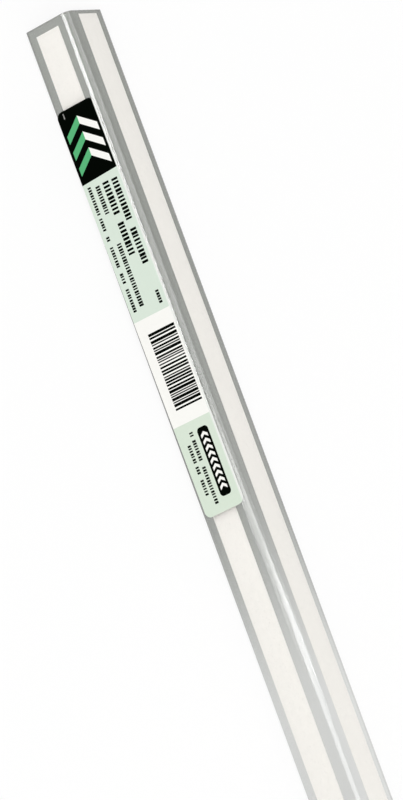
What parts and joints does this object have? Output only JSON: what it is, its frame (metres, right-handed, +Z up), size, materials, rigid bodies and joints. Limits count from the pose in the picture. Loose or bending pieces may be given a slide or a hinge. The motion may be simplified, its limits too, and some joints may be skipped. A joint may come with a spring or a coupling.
{
  "type": "clear corner guard moulding",
  "caption": "Length of clear plastic angle that laps and protects an outside wall corner, with lined adhesive strips inside its legs and a printed paper sticker on one leg.",
  "frame": {"origin": "middle of the footprint, on the floor plane that the two free edges of the angle rest on", "axes": "+X along the length towards the labelled end, +Y across towards the labelled leg, +Z up through the rounded corner"},
  "size_m": [1.2192, 0.0266, 0.0131],
  "materials": {
    "clear_plastic": "clear rigid plastic, as extruded, glossy",
    "adhesive": "clear pressure-sensitive adhesive",
    "liner_paper": "white coated release paper, satin",
    "label_paper": "coated label paper, printed in black, green and pale green"
  },
  "bodies": {
    "root": {"corner_angle": "clear_plastic", "adhesive_left": "adhesive", "adhesive_right": "adhesive", "liner_left": "liner_paper", "liner_right": "liner_paper", "label": "label_paper"}
  },
  "joints": []
}
